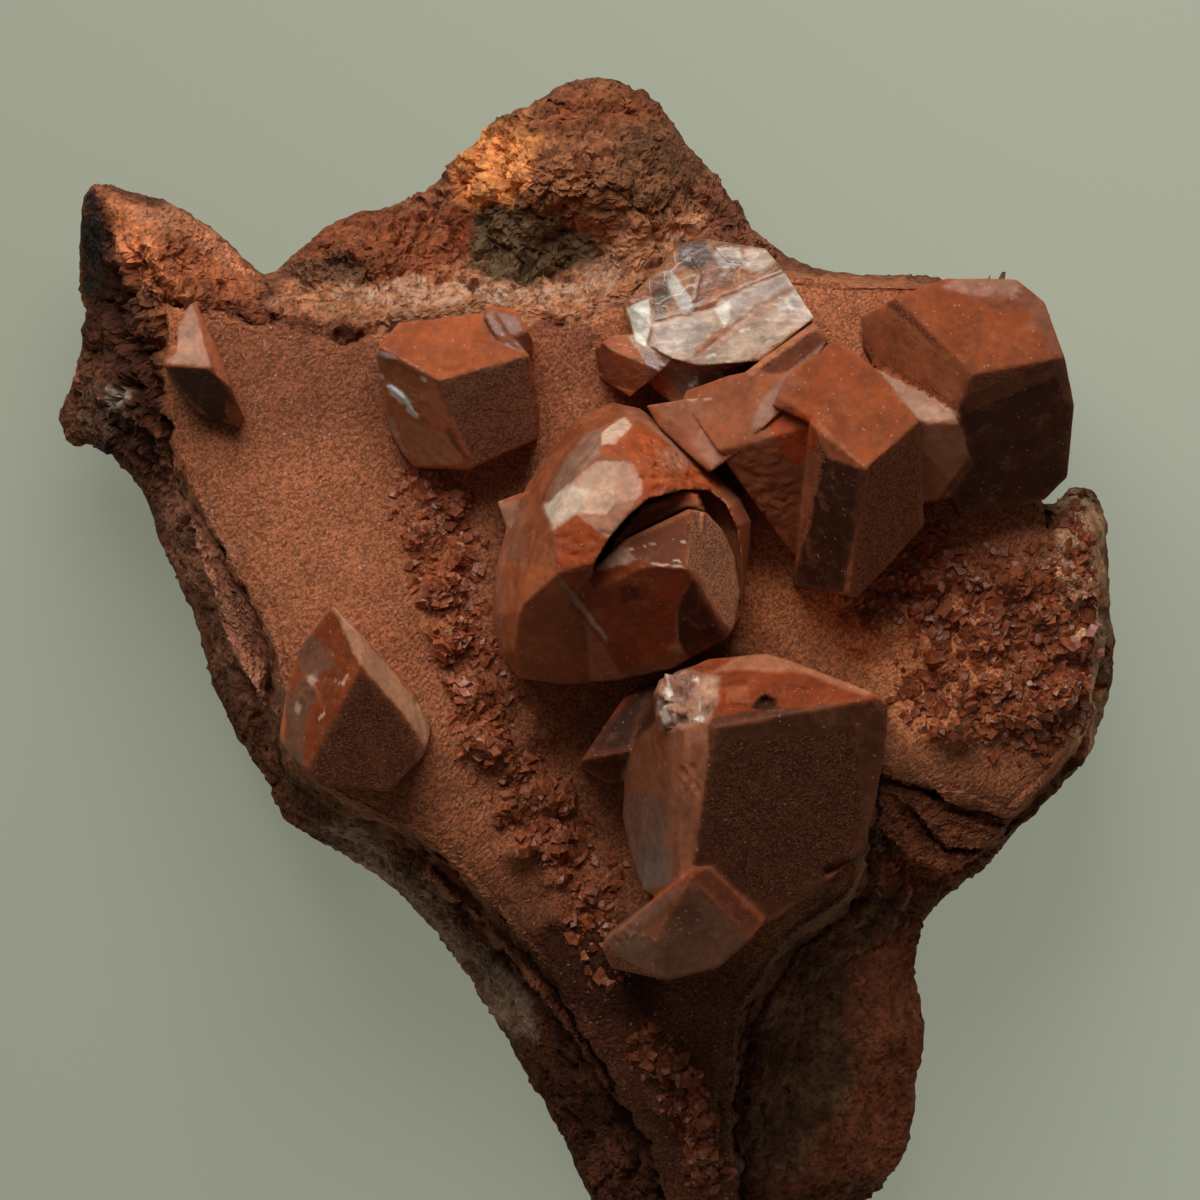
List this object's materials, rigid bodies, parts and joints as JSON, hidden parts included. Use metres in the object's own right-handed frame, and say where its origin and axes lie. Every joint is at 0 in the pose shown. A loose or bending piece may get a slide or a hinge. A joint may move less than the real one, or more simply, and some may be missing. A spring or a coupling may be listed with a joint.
{
  "type": "calcite on matrix",
  "caption": "Mineral specimen lying on its back: red block-shaped calcite crystals on a sandy crust over a lumpy iron-stained rock plate with a tapering stem.",
  "frame": {"origin": "on the table under the middle of the outline, seen from above, where the back rests", "axes": "+Z out of the back towards the crystals, +Y along the plate from its stem to the lump at its top, +X to the right seen from the crystal side"},
  "size_m": [0.0427, 0.0473, 0.0236],
  "materials": {
    "matrix_rock": "brick-red crystal grit over rough iron-brown rock",
    "red_calcite": "frosted translucent orange-red crystal, dusted dark on its lower faces",
    "glassy_calcite": "glassy pink-orange crystal with a cloudy red core",
    "clear_calcite": "clear cleaved crystal with white veils"
  },
  "bodies": {
    "root": {"matrix": "matrix_rock", "small_wedge_crystal": "red_calcite", "upper_left_crystal": "red_calcite", "clear_cleaved_crystal": "clear_calcite", "central_crystal": "glassy_calcite", "right_cluster": "red_calcite", "large_block_crystal": "red_calcite", "lower_left_crystal": "red_calcite"}
  },
  "joints": []
}
